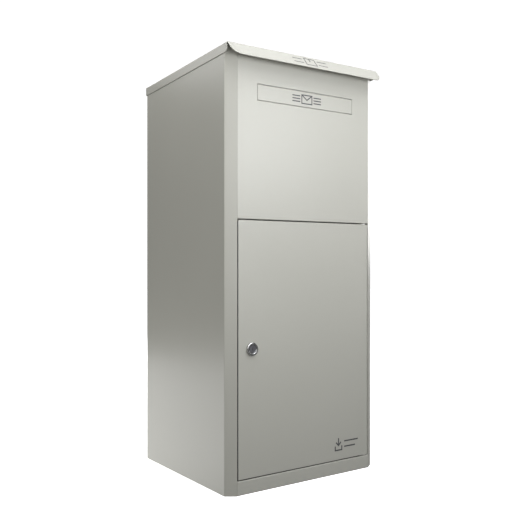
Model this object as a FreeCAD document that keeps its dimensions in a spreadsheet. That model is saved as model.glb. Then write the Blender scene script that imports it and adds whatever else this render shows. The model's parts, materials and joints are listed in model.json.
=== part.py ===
import FreeCAD, Part
import math
import os
import Sketcher

# Parcel drop box: a free-standing sheet-steel cabinet with a sloping lid, a letter
# flap, a lockable door and a counter-swinging tray that shuts the shaft while the lid
# is open.  Frame: origin on the floor under the middle of the body, +X right seen from
# the front, +Y to the back, +Z up.  Lengths in mm.

os.makedirs("parts", exist_ok=True)
doc = FreeCAD.newDocument("drop_box")
table = doc.addObject("Spreadsheet::Sheet", "Sizes")
Vector = FreeCAD.Vector
Rotation = FreeCAD.Rotation

DRIVING = (
    ("body_width", 464.0, "width over the flat sides"),
    ("body_depth", 420.0, "depth of the body, front face to back face"),
    ("lid_front_height", 1057.0, "height of the lid's front fold above the floor"),
    ("lid_fall", 26.7, "how far the lid drops from front face to back face"),
    ("gauge", 1.5, "sheet thickness of the body, lid and door"),
    ("facet_run", 25.5, "width of the flat on each front corner"),
    ("facet_depth", 17.5, "depth of the flat on each front corner"),
    ("leaf_depth", 25.0, "depth of the jamb beside the door"),
    ("stop_width", 16.5, "width of the stop flange behind the door"),
    ("return_width", 12.0, "inward return along the top of each side"),
    ("back_flange", 20.0, "reach of the upright strips that tie sides to back"),
    ("lid_gap", 2.3, "gap between lid sheet and body rim"),
    ("skirt_gap", 0.7, "gap between lid skirt and body side"),
    ("skirt_height", 22.0, "height of the lid skirts"),
    ("skirt_round", 10.0, "round on the front corner of the skirt"),
    ("lip_reach", 28.0, "how far the lid lip stands in front of the body"),
    ("lip_drop", 32.5, "how far the lid lip falls"),
    ("lip_round", 25.0, "round on the corners of the lip"),
    ("door_gap", 2.5, "gap round the door"),
    ("door_depth", 18.0, "depth of the door pan"),
    ("sill_height", 34.5, "height of the sill under the door"),
    ("head_drop", 409.5, "door head below the lid's front fold"),
    ("pivot_inset", 10.0, "door pivot in from the door's right edge"),
    ("pivot_back", 6.0, "door pivot behind the door's face"),
    ("door_pin_radius", 2.5, "radius of the door pivot pins"),
    ("lock_inset", 38.0, "lock centre in from the door's left edge"),
    ("slot_width", 300.0, "width of the letter slot"),
    ("slot_height", 40.0, "height of the letter slot"),
    ("slot_drop", 86.6, "top of the letter slot below the lid's front fold"),
    ("flap_gap", 1.0, "gap round the letter flap"),
    ("flap_gauge", 1.2, "thickness of the letter flap"),
    ("flap_pin_radius", 1.5, "radius of the flap's pin"),
    ("chute_depth", 58.5, "how far the letter chute stands behind the front"),
    ("chute_room", 0.5, "room between the letter chute and a door stop it passes"),
    ("hinge_drop", 22.5, "lid hinge axis below the rear rim"),
    ("hinge_back", 5.2, "lid hinge axis behind the back panel"),
    ("hinge_pin_radius", 1.6, "radius of the lid hinge pin"),
    ("knuckle_radius", 3.4, "outer radius of the hinge knuckles"),
    ("tray_drop", 357.0, "tray pivot below the lid's front fold"),
    ("tray_inset", 28.0, "tray pivot in front of the back face"),
    ("tray_clear", 120.0, "body depth less the tray's length"),
    ("tray_hang", 80.0, "angle of the resting tray below level, degrees"),
    ("crank_y", 65.11, "forward reach of each crank arm"),
    ("crank_z", 54.64, "height of each crank arm"),
    ("cheek_out", 208.0, "outer face of tray cheeks and lid arms from the middle"),
    ("link_pin_radius", 4.0, "radius of the link pins"),
    ("axle_radius", 5.0, "radius of the tray axles"),
    ("running_gap", 0.05, "radial clearance of every pin that turns"),
    ("anchor_x", 160.0, "floor anchor holes from the middle, sideways"),
    ("anchor_y", 130.0, "floor anchor holes from the middle, front and back"),
    ("anchor_radius", 6.5, "radius of the floor anchor holes"),
)


class Size:
    """A length that carries the spreadsheet formula it comes from."""

    def __init__(self, text, value):
        self.text = text
        self.value = float(value)

    def __add__(self, other):
        return combine(self, "+", other)

    def __radd__(self, other):
        return combine(other, "+", self)

    def __sub__(self, other):
        return combine(self, "-", other)

    def __rsub__(self, other):
        return combine(other, "-", self)

    def __mul__(self, other):
        return combine(self, "*", other)

    def __rmul__(self, other):
        return combine(other, "*", self)

    def __truediv__(self, other):
        return combine(self, "/", other)

    def __rtruediv__(self, other):
        return combine(other, "/", self)

    def __neg__(self):
        return combine(-1, "*", self)


def as_size(item):
    """A plain number becomes a Size with its own digits as the formula."""
    if isinstance(item, Size):
        return item
    return Size("(%s)" % round(float(item), 6), item)


def combine(left, sign, right):
    """Join two sizes with + - * or /, both as text and as a value."""
    left = as_size(left)
    right = as_size(right)
    if sign == "+":
        value = left.value + right.value
    elif sign == "-":
        value = left.value - right.value
    elif sign == "*":
        value = left.value * right.value
    else:
        value = left.value / right.value
    return Size("(%s %s %s)" % (left.text, sign, right.text), value)


def root(item):
    """Square root of a size."""
    return Size("sqrt(%s)" % item.text, math.sqrt(item.value))


sizes = {}
for row, (alias, number, meaning) in enumerate(DRIVING, 1):
    table.set("A%d" % row, alias)
    table.set("B%d" % row, str(number))
    table.set("C%d" % row, meaning)
    table.setAlias("B%d" % row, alias)
    sizes[alias] = Size("Sizes." + alias, number)
doc.recompute()

nodes = []


def bind(item, prop, size):
    """Tie one property to its formula."""
    size = as_size(size)
    item.setExpression(prop, size.text)


def name_part(item, label):
    """Give a finished part its node name and keep it for export."""
    item.Label = label
    nodes.append(item)
    return item


def place(item, spot, rotation=None):
    """Put an item at a spot of three sizes, turned by a fixed rotation."""
    spot = [as_size(s) for s in spot]
    turn = rotation or Rotation()
    item.Placement = FreeCAD.Placement(Vector(*[s.value for s in spot]), turn)
    for letter, size in zip("xyz", spot):
        bind(item, "Placement.Base." + letter, size)


# ---- simple solids -------------------------------------------------------------

ALONG = {
    "x": Rotation(Vector(0, 1, 0), 90),
    "y": Rotation(Vector(1, 0, 0), -90),
    "z": Rotation(),
}


def block(x, y, z):
    """Box between two planes in each direction."""
    item = doc.addObject("Part::Box", "block")
    for prop, (low, high) in zip(("Length", "Width", "Height"), (x, y, z)):
        bind(item, prop, as_size(high) - low)
    place(item, (x[0], y[0], z[0]))
    return item


def rod(axis, start, radius, length):
    """Round bar from its start point along the positive axis."""
    item = doc.addObject("Part::Cylinder", "rod")
    bind(item, "Radius", radius)
    bind(item, "Height", length)
    place(item, start, ALONG[axis])
    return item


def join(items):
    """One solid out of several."""
    item = doc.addObject("Part::MultiFuse", "join")
    item.Shapes = items
    item.Refine = True
    return item


def less(base, tool):
    """Base with the tool cut away."""
    item = doc.addObject("Part::Cut", "less")
    item.Base = base
    item.Tool = tool
    item.Refine = True
    return item


# ---- sketched solids -----------------------------------------------------------


def new_body(label):
    return name_part(doc.addObject("PartDesign::Body", label), label)


def origin_item(body, role):
    return [f for f in body.Origin.OriginFeatures if f.Role == role][0]


def sketch(body, plane, outlines, rings=(), lift=0):
    """Sketch of closed polygons and circles, every vertex dimensioned from the origin.

    plane is XY, XZ or YZ; lift moves it along its own normal (XZ looks along -Y).
    """
    item = body.newObject("Sketcher::SketchObject", "sketch")
    item.AttachmentSupport = [(origin_item(body, plane + "_Plane"), "")]
    item.MapMode = "FlatFace"
    lift = as_size(lift)
    item.AttachmentOffset = FreeCAD.Placement(Vector(0, 0, lift.value), Rotation())
    bind(item, "AttachmentOffset.Base.z", lift)
    for outline in outlines:
        points = [(as_size(p), as_size(q)) for p, q in outline]
        first = item.GeometryCount
        count = len(points)
        for k in range(count):
            p, q = points[k]
            r, s = points[(k + 1) % count]
            line = Part.LineSegment(Vector(p.value, q.value, 0), Vector(r.value, s.value, 0))
            item.addGeometry(line, False)
        for k in range(count):
            after = first + (k + 1) % count
            item.addConstraint(Sketcher.Constraint("Coincident", first + k, 2, after, 1))
        for k, (p, q) in enumerate(points):
            for kind, size in (("DistanceX", p), ("DistanceY", q)):
                rule = Sketcher.Constraint(kind, -1, 1, first + k, 1, size.value)
                number = item.addConstraint(rule)
                bind(item, "Constraints[%d]" % number, size)
    for p, q, radius in rings:
        p, q, radius = as_size(p), as_size(q), as_size(radius)
        circle = Part.Circle(Vector(p.value, q.value, 0), Vector(0, 0, 1), radius.value)
        index = item.addGeometry(circle, False)
        for kind, size in (("DistanceX", p), ("DistanceY", q)):
            number = item.addConstraint(Sketcher.Constraint(kind, -1, 1, index, 3, size.value))
            bind(item, "Constraints[%d]" % number, size)
        number = item.addConstraint(Sketcher.Constraint("Radius", index, radius.value))
        bind(item, "Constraints[%d]" % number, radius)
    return item


def pad(body, profile, length, both_ways=False):
    """Add material along the sketch's normal, or equally both ways."""
    item = body.newObject("PartDesign::Pad", "pad")
    item.Profile = profile
    bind(item, "Length", length)
    item.Midplane = both_ways
    return item


def pocket(body, profile, length):
    """Cut equally both ways from the sketch; a cut that removes nothing is an error."""
    doc.recompute()
    before = body.Shape.Volume
    item = body.newObject("PartDesign::Pocket", "pocket")
    item.Profile = profile
    bind(item, "Length", length)
    item.Midplane = True
    doc.recompute()
    if not body.Shape.Volume < before - 1e-6:
        raise RuntimeError("%s: a pocket cut nothing" % body.Label)
    return item


def soften(body, radius, wanted):
    """Fillet every edge of the body's tip that the test picks."""
    doc.recompute()
    tip = body.Tip
    names = []
    for number, edge in enumerate(tip.Shape.Edges, 1):
        if wanted(edge):
            names.append("Edge%d" % number)
    if not names:
        raise RuntimeError("%s: no edge to soften" % body.Label)
    item = body.newObject("PartDesign::Fillet", "soften")
    item.Base = (tip, names)
    bind(item, "Radius", radius)
    return item


def straight(edge, axis, length=0.0):
    """True for a straight edge along an axis, at least that long."""
    if len(edge.Vertexes) != 2 or edge.Length < length:
        return False
    run = edge.Vertexes[1].Point - edge.Vertexes[0].Point
    return abs(abs(getattr(run, axis)) - edge.Length) < 1e-4


def near(value, size, by=0.01):
    return abs(value - as_size(size).value) < by


def slab(p, q):
    """Four corners between two pairs of limits."""
    return [(p[0], q[0]), (p[1], q[0]), (p[1], q[1]), (p[0], q[1])]


# ---- shared positions ----------------------------------------------------------

gauge = sizes["gauge"]
half = sizes["body_width"] / 2
front = -sizes["body_depth"] / 2
back = sizes["body_depth"] / 2
fall = sizes["lid_fall"] / sizes["body_depth"]
top = sizes["lid_front_height"]
jamb = half - sizes["facet_run"]
stop_face = front + sizes["leaf_depth"]
inner = half - gauge
run_gap = sizes["running_gap"]


def lid_top(y):
    """Height of the lid's outer surface at a depth y."""
    return top - fall * (y - front)


def lid_under(y):
    return lid_top(y) - gauge


def rim(y):
    """Height of the body's sloping rim at a depth y."""
    return lid_under(y) - sizes["lid_gap"]


axis_y = back + sizes["hinge_back"]
axis_z = rim(back) - sizes["hinge_drop"]
tray_y = back - sizes["tray_inset"]
tray_z = top - sizes["tray_drop"]
crank_y = sizes["crank_y"]
crank_z = sizes["crank_z"]
head = top - sizes["head_drop"]
door_low = sizes["sill_height"] + sizes["door_gap"]
door_high = head - sizes["door_gap"]
door_half = jamb - sizes["door_gap"]
door_back = front + sizes["door_depth"]
slot_top = top - sizes["slot_drop"]
slot_low = slot_top - sizes["slot_height"]
slot_half = sizes["slot_width"] / 2
chute_sheet = 1.2
chute_side = slot_half + 10
chute_low = slot_low - 130
chute_high = slot_top + 40

# ---- body shell ----------------------------------------------------------------

facet_run = sizes["facet_run"]
facet_depth = sizes["facet_depth"]
facet_length = root(facet_run * facet_run + facet_depth * facet_depth)
facet_back = front + facet_depth
facet_lean = facet_depth / facet_run
facet_shift = gauge * facet_length / facet_run

for label, side in (("left_side_panel", -1), ("right_side_panel", 1)):
    body = new_body(label)
    flange_face = back - gauge
    plan = [
        (side * half, flange_face),
        (side * half, facet_back),
        (side * jamb, front),
        (side * jamb, stop_face),
        (side * (jamb - sizes["stop_width"]), stop_face),
        (side * (jamb - sizes["stop_width"]), stop_face + gauge),
        (side * (jamb + gauge), stop_face + gauge),
        (side * (jamb + gauge), facet_back - facet_lean * (facet_run - gauge) + facet_shift),
        (side * inner, facet_back - facet_lean * gauge + facet_shift),
        (side * inner, flange_face),
    ]
    pad(body, sketch(body, "XY", [plan]), top)
    above = [
        (front - 20, rim(front - 20)),
        (back + 20, rim(back + 20)),
        (back + 20, top + 20),
        (front - 20, top + 20),
    ]
    pocket(body, sketch(body, "YZ", [above]), sizes["body_width"] * 2)
    # A wide slot brings the chute's sides to the stops, which are then cut back round it.
    stop_edge = jamb - sizes["stop_width"]
    chute_reach = chute_side + chute_sheet + sizes["chute_room"]
    if chute_reach.value > stop_edge.value:
        relief_low = chute_low - sizes["chute_room"]
        relief = [
            (side * (stop_edge - 1), stop_face - 1),
            (side * chute_reach, stop_face - 1),
            (side * chute_reach, stop_face + gauge + 1),
            (side * (stop_edge - 1), stop_face + gauge + 1),
        ]
        middle = (relief_low + top) / 2
        pocket(body, sketch(body, "XY", [relief], lift=middle), top - relief_low)
    rim_front = facet_back
    rim_back = flange_face - gauge
    strip = [
        (rim_front, rim(rim_front)),
        (rim_back, rim(rim_back)),
        (rim_back, rim(rim_back) - gauge),
        (rim_front, rim(rim_front) - gauge),
    ]
    start = -inner if side < 0 else inner - sizes["return_width"]
    pad(body, sketch(body, "YZ", [strip], lift=start), sizes["return_width"])

for label, side in (("rear_strip_left", -1), ("rear_strip_right", 1)):
    ends = sorted((side * inner, side * (half - sizes["back_flange"])), key=lambda s: s.value)
    name_part(block(ends, (back - gauge * 2, back - gauge), (0, rim(back))), label)

wall_hole_x = half * 0.65
body = new_body("back_panel")
pad(body, sketch(body, "XZ", [slab((-half, half), (0, rim(back)))], lift=-back), gauge)
wall_holes = []
for sx in (-1, 1):
    for z in (150, axis_z - 104):
        wall_holes.append((sx * wall_hole_x, z, 4.5))
pocket(body, sketch(body, "XZ", [], wall_holes, lift=-back), 12)

base_front = stop_face + gauge
base_back = back - gauge * 2
body = new_body("base_plate")
pad(body, sketch(body, "XY", [slab((-inner, inner), (base_front, base_back))]), 2)
for low, high in ((-inner, gauge - inner), (inner - gauge, inner)):
    pad(body, sketch(body, "XY", [slab((low, high), (base_front, base_back))]), 20)
pad(body, sketch(body, "XY", [slab((-inner, inner), (base_back - gauge, base_back))]), 20)
anchors = []
for sx in (-1, 1):
    for sy in (-1, 1):
        anchors.append((sx * sizes["anchor_x"], sy * sizes["anchor_y"], sizes["anchor_radius"]))
pocket(body, sketch(body, "XY", [], anchors), 10)

mat_margin = 22
body = new_body("floor_mat")
mat = slab((mat_margin - inner, inner - mat_margin), (base_front + 14, base_back - 14))
pad(body, sketch(body, "XY", [mat], lift=2), 3)
wide = [(x, y, radius + 5) for x, y, radius in anchors]
pocket(body, sketch(body, "XY", [], wide, lift=2), 8)

stop_back = stop_face - 1
sill = sizes["sill_height"]
body = new_body("front_sill")
bend = [
    (front, 0),
    (front, sill),
    (stop_back - gauge, sill),
    (stop_back - gauge, sill + 13),
    (stop_back, sill + 13),
    (stop_back, sill - gauge),
    (front + gauge, sill - gauge),
    (front + gauge, gauge),
    (stop_back, gauge),
    (stop_back, 0),
]
pad(body, sketch(body, "YZ", [bend]), jamb * 2, True)

body = new_body("upper_front_panel")
turn_in = front + 20
bend = [
    (front, head),
    (front, rim(front)),
    (turn_in, rim(turn_in)),
    (turn_in, rim(turn_in) - gauge),
    (front + gauge, rim(front + gauge) - gauge),
    (front + gauge, head + gauge),
    (stop_back, head + gauge),
    (stop_back, head - 14),
    (stop_back - gauge, head - 14),
    (stop_back - gauge, head),
]
pad(body, sketch(body, "YZ", [bend]), jamb * 2, True)
slot = slab((-slot_half, slot_half), (slot_low, slot_top))
pocket(body, sketch(body, "XZ", [slot], lift=-front), 12)

# ---- letter chute, flap and its pin --------------------------------------------

chute_face = front + gauge
chute_back = front + sizes["chute_depth"]
chute_lug = chute_side + 12
body = new_body("letter_chute")
plan = []
for side, order in ((-1, 1), (1, -1)):
    corners = [
        (side * chute_lug, chute_face + chute_sheet),
        (side * chute_lug, chute_face),
        (side * chute_side, chute_face),
        (side * chute_side, chute_back),
    ]
    plan += corners[::order]
for side, order in ((1, 1), (-1, -1)):
    corners = [
        (side * (chute_side + chute_sheet), chute_face + chute_sheet),
        (side * (chute_side + chute_sheet), chute_back + chute_sheet),
    ]
    plan += corners[::order]
pad(body, sketch(body, "XY", [plan], lift=chute_low), chute_high - chute_low)
cap = slab((-chute_side, chute_side), (chute_face, chute_back))
pad(body, sketch(body, "XY", [cap], lift=chute_high - chute_sheet), chute_sheet)

flap_y = front + 4.5
flap_z = slot_top - 3.4
flap_half = slot_half - sizes["flap_gap"]
pin_radius = sizes["flap_pin_radius"]
flap_back = front + sizes["flap_gauge"]
plate = block((-flap_half, flap_half), (front, flap_back),
              (slot_low + sizes["flap_gap"], slot_top - sizes["flap_gap"]))
foot = block((-flap_half, flap_half), (front, front + 7),
             (slot_low + sizes["flap_gap"], slot_low + sizes["flap_gap"] + 1.2))
pieces = [plate, foot]
barrel_length = slot_half - 33
for low in (30, 3 - slot_half):
    pieces.append(rod("x", (low, flap_y, flap_z), 2.6, barrel_length))
    pieces.append(block((low, low + barrel_length), (front + 0.6, flap_y),
                        (flap_z - 1, flap_z + 1)))
bore = rod("x", (-slot_half, flap_y, flap_z), pin_radius + run_gap, slot_half * 2)
name_part(less(join(pieces), bore), "letter_flap")

pin_end = slot_half + 5
name_part(rod("x", (-pin_end, flap_y, flap_z), pin_radius, pin_end * 2), "flap_pin")
for label, side in (("flap_bracket_left", -1), ("flap_bracket_right", 1)):
    low = slot_half + 1.5 if side > 0 else -slot_half - 3.5
    lug = block((low, low + 2), (chute_face, chute_face + 9), (flap_z - 6, flap_z + 6))
    pad_low = low if side > 0 else low - 4
    foot = block((pad_low, pad_low + 6), (chute_face, chute_face + 1.2),
                 (flap_z - 6, flap_z + 6))
    eye = rod("x", (low - 5, flap_y, flap_z), pin_radius, 12)
    name_part(less(join([lug, foot]), eye), label)

coil = doc.addObject("Part::Helix", "coil")
coil.Radius = 2.1
coil.Pitch = 1.5
coil.Height = 36
place(coil, (-18, flap_y, flap_z), ALONG["x"])
wire = doc.addObject("Part::Circle", "wire")
wire.Radius = 0.35
turn = ALONG["x"].multiply(Rotation(Vector(1, 0, 0), 90))
place(wire, (-18, flap_y, flap_z - 2.1), turn)
spring = doc.addObject("Part::Sweep", "spring")
spring.Sections = [wire]
spring.Spine = (coil, ["Edge1"])
spring.Solid = True
spring.Frenet = True
name_part(spring, "flap_spring")

# ---- lid -----------------------------------------------------------------------

lid_half = half + sizes["skirt_gap"] + gauge
rear_in = back + 0.8
rear_out = rear_in + gauge
skirt_low = lid_top(rear_out) - sizes["skirt_height"]
reach = sizes["lip_reach"]
drop = sizes["lip_drop"]
slant = root(reach * reach + drop * drop)
fold = (gauge * slant / reach - gauge) / (drop / reach + fall)

body = new_body("lid_cover")
section = [
    (front, top),
    (front - reach, top - drop),
    (front - reach + gauge * drop / slant, top - drop - gauge * reach / slant),
    (front + fold, lid_under(front + fold)),
    (rear_in, lid_under(rear_in)),
    (rear_in, skirt_low),
    (rear_out, skirt_low),
    (rear_out, lid_top(rear_out)),
]
pad(body, sketch(body, "YZ", [section]), lid_half * 2, True)
skirt = [
    (front, top),
    (front, top - sizes["skirt_height"]),
    (rear_out, skirt_low),
    (rear_out, lid_top(rear_out)),
]
for start in (-lid_half, lid_half - gauge):
    pad(body, sketch(body, "YZ", [skirt], lift=start), gauge)
skirt_foot = top - sizes["skirt_height"]
soften(body, sizes["skirt_round"], lambda e: straight(e, "x")
       and near(e.CenterOfMass.y, front) and near(e.CenterOfMass.z, skirt_foot))
lip_end = front - reach
soften(body, sizes["lip_round"], lambda e: near(abs(e.CenterOfMass.x), lid_half)
       and near(e.Length, gauge) and e.CenterOfMass.y < lip_end.value + 2)
soften(body, 1.4, lambda e: near(abs(e.CenterOfMass.x), lid_half)
       and e.Length > 300 and e.CenterOfMass.z > top.value - 30)

hat_deep = 8
hat_sheet = 1.2
body = new_body("lid_stiffener")
hat = []
for y, down in ((-32, 0), (32, 0), (32, hat_sheet), (20, hat_sheet), (20, hat_deep),
                (-20, hat_deep), (-20, hat_sheet), (-32, hat_sheet)):
    hat.append((y, lid_under(as_size(y)) - down))
pad(body, sketch(body, "YZ", [hat]), jamb * 2 - 30, True)
hollow = []
for y, down in ((-18.8, -1), (18.8, -1), (18.8, hat_deep - hat_sheet),
                (-18.8, hat_deep - hat_sheet)):
    hollow.append((y, lid_under(as_size(y)) - down))
pocket(body, sketch(body, "YZ", [hollow]), jamb * 2)

pad_low = inner - 11
for row_name, y in (("front", front + 45), ("rear", back - 45)):
    for side_name, side in (("left", -1), ("right", 1)):
        body = new_body("bumper_%s_%s" % (row_name, side_name))
        pillow = [
            (y - 6, lid_under(y - 6)),
            (y + 6, lid_under(y + 6)),
            (y + 6, lid_under(y + 6) - 2),
            (y - 6, lid_under(y - 6) - 2),
        ]
        start = pad_low if side > 0 else -pad_low - 9
        pad(body, sketch(body, "YZ", [pillow], lift=start), 9)

# Arms that carry the upper link pins; the pin sits one crank below and before the axis.
arm_y = axis_y - crank_y
arm_z = axis_z - crank_z
cheek = sizes["cheek_out"]
for label, side in (("lid_arm_left", -1), ("lid_arm_right", 1)):
    body = new_body(label)
    blade = [
        (arm_y - 70, lid_under(arm_y - 70)),
        (arm_y + 5, lid_under(arm_y + 5)),
        (arm_y + 13, arm_z),
        (arm_y + 6, arm_z - 12),
        (arm_y - 6, arm_z - 12),
        (arm_y - 13, arm_z),
    ]
    start = -cheek if side < 0 else cheek - gauge
    pad(body, sketch(body, "YZ", [blade], lift=start), gauge)
    ear = [
        (arm_y - 70, lid_under(arm_y - 70)),
        (arm_y + 5, lid_under(arm_y + 5)),
        (arm_y + 5, lid_under(arm_y + 5) - gauge),
        (arm_y - 70, lid_under(arm_y - 70) - gauge),
    ]
    start = -cheek if side < 0 else cheek - 14
    pad(body, sketch(body, "YZ", [ear], lift=start), 14)
    eye = [(arm_y, arm_z, sizes["link_pin_radius"])]
    pocket(body, sketch(body, "YZ", [], eye), half * 2)

# ---- lid hinge -----------------------------------------------------------------

hinge_half = jamb - 6.5
knuckle = sizes["knuckle_radius"]
pin = sizes["hinge_pin_radius"]
pitch = hinge_half * 2 / 5
fixed_knuckles = []
moving_knuckles = []
for k in range(5):
    low = pitch * k - hinge_half + 0.5
    (moving_knuckles if k % 2 else fixed_knuckles).append(low)
long_pin = rod("x", (-hinge_half - 1, axis_y, axis_z), pin, hinge_half * 2 + 2)

fixed_out = back + 2.2
pieces = [block((-hinge_half, hinge_half), (back, fixed_out), (axis_z - 22, axis_z - 4.5))]
for low in fixed_knuckles:
    pieces.append(rod("x", (low, axis_y, axis_z), knuckle, pitch - 1))
    pieces.append(block((low, low + pitch - 1), (back, fixed_out), (axis_z - 6, axis_z - 1)))
for k in range(5):
    x = pitch * (k - 2)
    pieces.append(rod("y", (x, back + 1, axis_z - 14), 2.6, 2.2))
bore = rod("x", (-hinge_half - 5, axis_y, axis_z), pin, hinge_half * 2 + 10)
name_part(less(join(pieces), bore), "hinge_fixed_leaf")

pieces = [block((-hinge_half, hinge_half), (rear_out, rear_out + 1.8),
                (skirt_low, skirt_low + 17))]
for low in moving_knuckles:
    pieces.append(rod("x", (low, axis_y, axis_z), knuckle, pitch - 1))
    pieces.append(block((low, low + pitch - 1), (rear_out, rear_out + 1.8),
                        (axis_z, skirt_low + 1)))
for k in range(5):
    x = pitch * (k - 2)
    pieces.append(rod("y", (x, rear_out + 1, skirt_low + 10), 2.6, 1.8))
bore = rod("x", (-hinge_half - 5, axis_y, axis_z), pin + run_gap, hinge_half * 2 + 10)
name_part(less(join(pieces), bore), "hinge_moving_leaf")
name_part(long_pin, "hinge_pin")

# ---- tray, drawn level about its own pivot and then hung down --------------------

tray_length = sizes["body_depth"] - sizes["tray_clear"]
body = new_body("drop_tray")
floor = slab((-cheek, cheek), (-tray_length, -12))
pad(body, sketch(body, "XY", [floor], lift=-gauge), gauge)
side_plate = [
    (10, -gauge - 7),
    (10, 9),
    (-crank_y + 16, crank_z + 13),
    (-crank_y - 12, crank_z + 13),
    (-crank_y - 70, 26),
    (-tray_length, 22),
    (-tray_length, -gauge),
    (-20, -gauge),
    (-10, -gauge - 7),
]
for start in (-cheek, cheek - gauge):
    pad(body, sketch(body, "YZ", [side_plate], lift=start), gauge)
edge = slab((-cheek, cheek), (-tray_length, gauge - tray_length))
pad(body, sketch(body, "XY", [edge]), 12)
holes = [(0, 0, sizes["axle_radius"] + run_gap)]
holes.append((-crank_y, crank_z, sizes["link_pin_radius"]))
pocket(body, sketch(body, "YZ", [], holes), half * 2)
place(body, (0, tray_y, tray_z), Rotation(Vector(1, 0, 0), sizes["tray_hang"].value))
bind(body, "Placement.Rotation.Angle", sizes["tray_hang"] * Size("1 deg", 1))

low_y = tray_y - crank_y
low_z = tray_z - crank_z
axle = sizes["axle_radius"]
for side_name, side in (("left", -1), ("right", 1)):
    near_face = cheek - gauge
    low = near_face - 7 if side > 0 else -near_face
    collar = rod("x", (low, tray_y, tray_z), 9, 7)
    hole = rod("x", (low - 2, tray_y, tray_z), axle + run_gap, 12)
    name_part(less(collar, hole), "tray_bush_" + side_name)

    low = cheek + 1 if side > 0 else -(inner - gauge)
    boss_length = inner - gauge - cheek - 1
    boss = rod("x", (low, tray_y, tray_z), 10, boss_length)
    low = inner - gauge if side > 0 else -inner
    foot = block((low, low + gauge), (tray_y - 26, tray_y + 20), (tray_z - 28, tray_z + 28))
    hole = rod("x", (-inner - 3, tray_y, tray_z), axle, inner * 2 + 6)
    name_part(less(join([boss, foot]), hole), "tray_bracket_" + side_name)

    axle_length = inner - near_face + 8
    low = near_face - 8 if side > 0 else -inner
    name_part(rod("x", (low, tray_y, tray_z), axle, axle_length), "tray_axle_" + side_name)

    for end_name, y, z in (("upper", arm_y, arm_z), ("lower", low_y, low_z)):
        shank_low = near_face - 1.5 if side > 0 else -(cheek + 3.3)
        shank_length = cheek + 3.3 - near_face + 1.5
        head_low = cheek + 3.3 if side > 0 else -(cheek + 5)
        shank = rod("x", (shank_low, y, z), sizes["link_pin_radius"], shank_length)
        button = rod("x", (head_low, y, z), 6.5, 1.7)
        rivet_low = near_face - 2 if side > 0 else -near_face
        rivet = rod("x", (rivet_low, y, z), 6, 2)
        name_part(join([shank, button, rivet]), "link_pin_%s_%s" % (end_name, side_name))

    body = new_body("link_" + side_name)
    link_y = axis_y - tray_y
    link_z = axis_z - tray_z
    link_length = root(link_y * link_y + link_z * link_z)
    low = cheek + 1 if side > 0 else -(cheek + 3)
    pad(body, sketch(body, "YZ", [slab((-8, 8), (-link_length - 8, 8))], lift=low), 2)
    soften(body, 7.9, lambda e: straight(e, "x"))
    holes = [(0, 0, sizes["link_pin_radius"] + run_gap)]
    holes.append((0, -link_length, sizes["link_pin_radius"] + run_gap))
    pocket(body, sketch(body, "YZ", [], holes), half * 2)
    lean = Size("-atan(%s / %s)" % (link_y.text, link_z.text),
                -math.degrees(math.atan(link_y.value / link_z.value)))
    place(body, (0, arm_y, arm_z), Rotation(Vector(1, 0, 0), lean.value))
    bind(body, "Placement.Rotation.Axis.x", 1)
    bind(body, "Placement.Rotation.Angle", lean)

# ---- door ----------------------------------------------------------------------

pivot_x = door_half - sizes["pivot_inset"]
pivot_y = front + sizes["pivot_back"]
lock_x = sizes["lock_inset"] - door_half
lock_z = (door_low + door_high) / 2
door_pin = sizes["door_pin_radius"]
bush_radius = door_pin + 1.7

body = new_body("door_panel")
pan = slab((-door_half, door_half), (door_low, door_high))
pad(body, sketch(body, "XZ", [pan], lift=-door_back), sizes["door_depth"])
inside = slab((gauge - door_half, door_half - gauge), (door_low + gauge, door_high - gauge))
pocket(body, sketch(body, "XZ", [inside], lift=-door_back), (sizes["door_depth"] - gauge) * 2)
pocket(body, sketch(body, "XZ", [], [(lock_x, lock_z, 11.6)], lift=-front), 12)
pivots = [(pivot_x, pivot_y, bush_radius)]
pocket(body, sketch(body, "XY", [], pivots), door_high * 2 + 20)
soften(body, 1.2, lambda e: near(e.CenterOfMass.y, front) and e.Length > 100)

body = new_body("door_stiffener")
hat = []
for x, out in ((-46, 0), (46, 0), (46, 1.2), (30, 1.2), (30, 13), (-30, 13), (-30, 1.2),
               (-46, 1.2)):
    hat.append((x, front + gauge + out))
pad(body, sketch(body, "XY", [hat], lift=door_low + 25), door_high - door_low - 50)
hollow = slab((-28.8, 28.8), (front, front + gauge + 11.8))
pocket(body, sketch(body, "XY", [hollow]), door_high * 2 + 20)

for end_name, seat, out in (("lower", door_low, -1), ("upper", door_high, 1)):
    flange_low = seat - 1.7 if out < 0 else seat
    flange = rod("z", (pivot_x, pivot_y, flange_low), 5.6, 1.7)
    sleeve_low = seat if out < 0 else seat - 10
    sleeve = rod("z", (pivot_x, pivot_y, sleeve_low), bush_radius, 10)
    hole = rod("z", (pivot_x, pivot_y, seat - 20), door_pin + run_gap, 40)
    name_part(less(join([flange, sleeve]), hole), "door_bush_" + end_name)
    pin_low = sill if out < 0 else head - 16
    name_part(rod("z", (pivot_x, pivot_y, pin_low), door_pin, 16), "door_pin_" + end_name)

# ---- cam lock, drawn about its own middle with the door face at zero -------------


def turned(label, profile):
    """Solid of revolution about the Y axis of its own frame, set at the lock."""
    item = new_body(label)
    shape = item.newObject("PartDesign::Revolution", "turned")
    shape.Profile = sketch(item, "YZ", [profile])
    shape.ReferenceAxis = (origin_item(item, "Y_Axis"), [""])
    shape.Angle = 360
    place(item, (lock_x, front, lock_z))
    return item


turned("lock_housing", [
    (0, 11.5), (0, 16), (-3.4, 16), (-5, 14.4), (-5, 11.4), (-4.2, 9.05),
    (26.6, 9.05), (26.6, 11.5),
])
body = turned("lock_plug", [
    (-4, 0), (-4, 9), (27, 9), (27, 4), (29.5, 4), (29.5, 0),
])
pocket(body, sketch(body, "XZ", [slab((-0.9, 0.9), (-4.5, 4.5))], lift=4), 12)

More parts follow.
